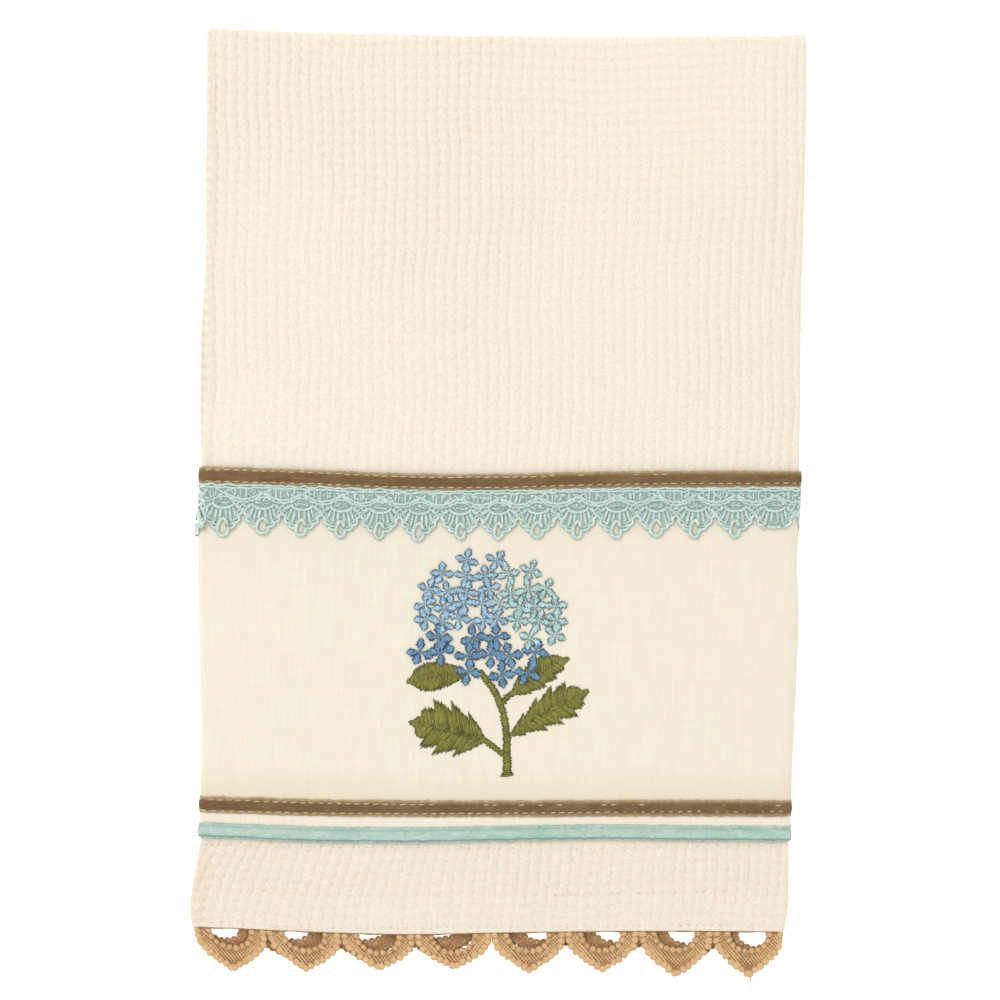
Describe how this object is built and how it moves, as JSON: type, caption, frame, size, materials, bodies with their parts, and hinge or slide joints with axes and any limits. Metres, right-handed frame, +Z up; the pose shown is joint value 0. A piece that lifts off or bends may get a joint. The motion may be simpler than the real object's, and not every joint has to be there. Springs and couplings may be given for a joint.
{
  "type": "folded hand towel",
  "caption": "Folded hand towel of waffle cloth with an embroidered plain-weave panel, velvet ribbons, an aqua lace and a scalloped lace at its hem.",
  "frame": {"origin": "middle of the bounding box's bottom, on the surface that the towel lies on", "axes": "+Z up, out of the towel's decorated face; +Y along its length, up to the top fold; +X to the right across its face"},
  "size_m": [0.2091, 0.3233, 0.0113],
  "materials": {
    "waffle_cloth": "matt ivory cotton in a waffle weave of 3.6 mm cells",
    "plain_weave_panel": "matt ivory plain weave, like fine linen",
    "brown_velvet": "brown velvet ribbon with paler woven edges and light machine stitches",
    "aqua_velvet": "aqua velvet ribbon with matching stitches",
    "aqua_lace": "matt aqua cotton lace",
    "beige_lace": "matt beige cotton lace with knobbed edges"
  },
  "bodies": {
    "root": {"towel_cloth": "waffle_cloth", "linen_panel": "plain_weave_panel", "upper_brown_ribbon": "brown_velvet", "aqua_lace": "aqua_lace", "lower_brown_ribbon": "brown_velvet", "aqua_ribbon": "aqua_velvet", "beige_lace": "beige_lace"}
  },
  "joints": []
}
